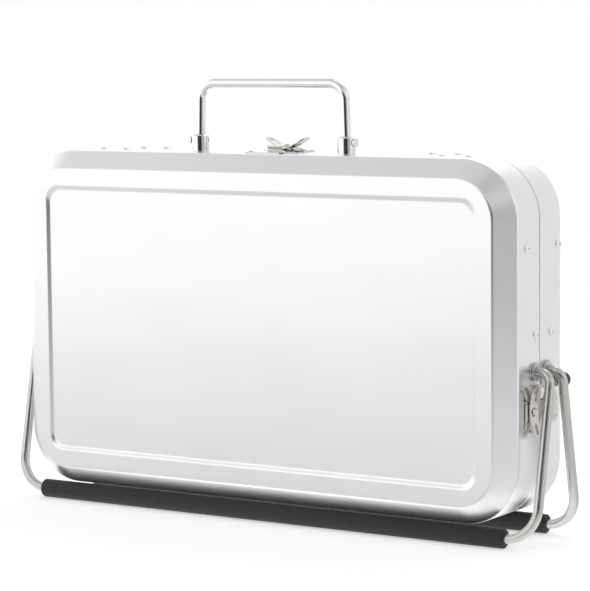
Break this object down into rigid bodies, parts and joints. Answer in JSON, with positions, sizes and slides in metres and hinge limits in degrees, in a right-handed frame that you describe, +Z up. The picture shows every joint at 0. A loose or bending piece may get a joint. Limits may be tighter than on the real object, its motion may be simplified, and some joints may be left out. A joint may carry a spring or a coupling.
{
  "type": "suitcase grill",
  "caption": "Portable charcoal grill that packs into an upright metal suitcase on two wire leg bails, with a folding handle, twist latches, trays and grates.",
  "frame": {"origin": "on the floor under the middle of the case's seam", "axes": "+X along the case's width, -Y towards the front pan's face, +Z up"},
  "size_m": [0.431, 0.084, 0.3049],
  "materials": {
    "stainless_pan": "fine brushed stainless steel sheet",
    "tray_steel": "plain mill-finish steel sheet",
    "grate_chrome": "chromed wire",
    "clip_steel": "zinc-plated steel",
    "rivet_steel": "satin rivet heads",
    "rod_stainless": "satin drawn stainless wire",
    "sleeve_rubber": "matt black rubber",
    "handle_chrome": "bright chrome",
    "ball_black": "satin black phenolic",
    "latch_nickel": "bright nickel plate"
  },
  "bodies": {
    "rear_body": {"rear_shell": "stainless_pan", "rear_charcoal_tray": "tray_steel", "rear_cooking_grate": "grate_chrome", "rear_tray_clips": "clip_steel", "rear_grate_clips": "clip_steel", "rear_clip_rivets": "rivet_steel", "rear_pivot_plates": "clip_steel", "rear_pivot_bushes": "clip_steel", "stop_studs": "clip_steel", "stop_ball_caps": "ball_black", "rear_hinge_leaves": "clip_steel", "rear_hinge_rivets": "rivet_steel", "hinge_pins": "clip_steel", "top_latch_base": "latch_nickel", "top_latch_spindle": "latch_nickel", "top_latch_base_rivets": "latch_nickel", "right_latch_keeper": "latch_nickel", "right_latch_keeper_rivets": "latch_nickel", "left_latch_keeper": "latch_nickel", "left_latch_keeper_rivets": "latch_nickel"},
    "front_body": {"front_shell": "stainless_pan", "front_charcoal_tray": "tray_steel", "front_cooking_grate": "grate_chrome", "front_tray_clips": "clip_steel", "front_grate_clips": "clip_steel", "front_clip_rivets": "rivet_steel", "front_pivot_plates": "clip_steel", "front_pivot_bushes": "clip_steel", "handle_bosses": "handle_chrome", "handle_screws": "handle_chrome", "front_hinge_leaves": "clip_steel", "front_hinge_rivets": "rivet_steel", "right_latch_base": "latch_nickel", "right_latch_spindle": "latch_nickel", "right_latch_base_rivets": "latch_nickel", "left_latch_base": "latch_nickel", "left_latch_spindle": "latch_nickel", "left_latch_base_rivets": "latch_nickel", "top_latch_keeper": "latch_nickel", "top_latch_keeper_rivets": "latch_nickel"},
    "handle": {"handle_rod": "handle_chrome"},
    "front_leg": {"front_leg_bail": "rod_stainless", "front_leg_sleeve": "sleeve_rubber", "front_leg_retainers": "clip_steel"},
    "rear_leg": {"rear_leg_bail": "rod_stainless", "rear_leg_sleeve": "sleeve_rubber", "rear_leg_retainers": "clip_steel"},
    "right_wing": {"right_latch_wing": "latch_nickel"},
    "right_hook": {"right_latch_hook": "latch_nickel"},
    "left_wing": {"left_latch_wing": "latch_nickel"},
    "left_hook": {"left_latch_hook": "latch_nickel"},
    "top_wing": {"top_latch_wing": "latch_nickel"},
    "top_hook": {"top_latch_hook": "latch_nickel"}
  },
  "joints": [
    {"name": "lid_open", "type": "hinge", "parent": "rear_body", "child": "front_body", "pos_m": [0, 0, 0.0112], "axis": [1, 0, 0], "range_deg": [0, 180]},
    {"name": "front_leg_swing", "type": "hinge", "parent": "front_body", "child": "front_leg", "pos_m": [0, -0.0079, 0.1142], "axis": [1, 0, 0], "range_deg": [-90, 0]},
    {"name": "rear_leg_swing", "type": "hinge", "parent": "rear_body", "child": "rear_leg", "pos_m": [0, 0.0079, 0.1142], "axis": [1, 0, 0], "range_deg": [0, 90]},
    {"name": "handle_fold", "type": "hinge", "parent": "front_body", "child": "handle", "pos_m": [0, -0.012, 0.2617], "axis": [1, 0, 0], "range_deg": [-90, 0]},
    {"name": "right_latch_turn", "type": "hinge", "parent": "front_body", "child": "right_wing", "pos_m": [0.2, -0.015, 0.0889], "axis": [1, 0, 0], "range_deg": [0, 180]},
    {"name": "right_hook_slide", "type": "slide", "parent": "front_body", "child": "right_hook", "axis": [0, 1, 0], "range_m": [0, 0.004]},
    {"name": "left_latch_turn", "type": "hinge", "parent": "front_body", "child": "left_wing", "pos_m": [-0.2, -0.015, 0.0889], "axis": [-1, 0, 0], "range_deg": [0, 180]},
    {"name": "left_hook_slide", "type": "slide", "parent": "front_body", "child": "left_hook", "axis": [0, 1, 0], "range_m": [0, 0.004]},
    {"name": "top_latch_turn", "type": "hinge", "parent": "rear_body", "child": "top_wing", "pos_m": [0, 0.0075, 0.2537], "axis": [0, 0, 1], "range_deg": [0, 180]},
    {"name": "top_hook_slide", "type": "slide", "parent": "rear_body", "child": "top_hook", "axis": [0, -1, 0], "range_m": [0, 0.004]}
  ],
  "couplings": [
    {"joint": "front_leg_swing", "follows": "lid_open", "ratio": -0.5},
    {"joint": "rear_leg_swing", "follows": "lid_open", "ratio": 0.5},
    {"joint": "right_hook_slide", "follows": "right_latch_turn", "m_per_rad": 0.001273},
    {"joint": "left_hook_slide", "follows": "left_latch_turn", "m_per_rad": 0.001273},
    {"joint": "top_hook_slide", "follows": "top_latch_turn", "m_per_rad": 0.001273}
  ]
}
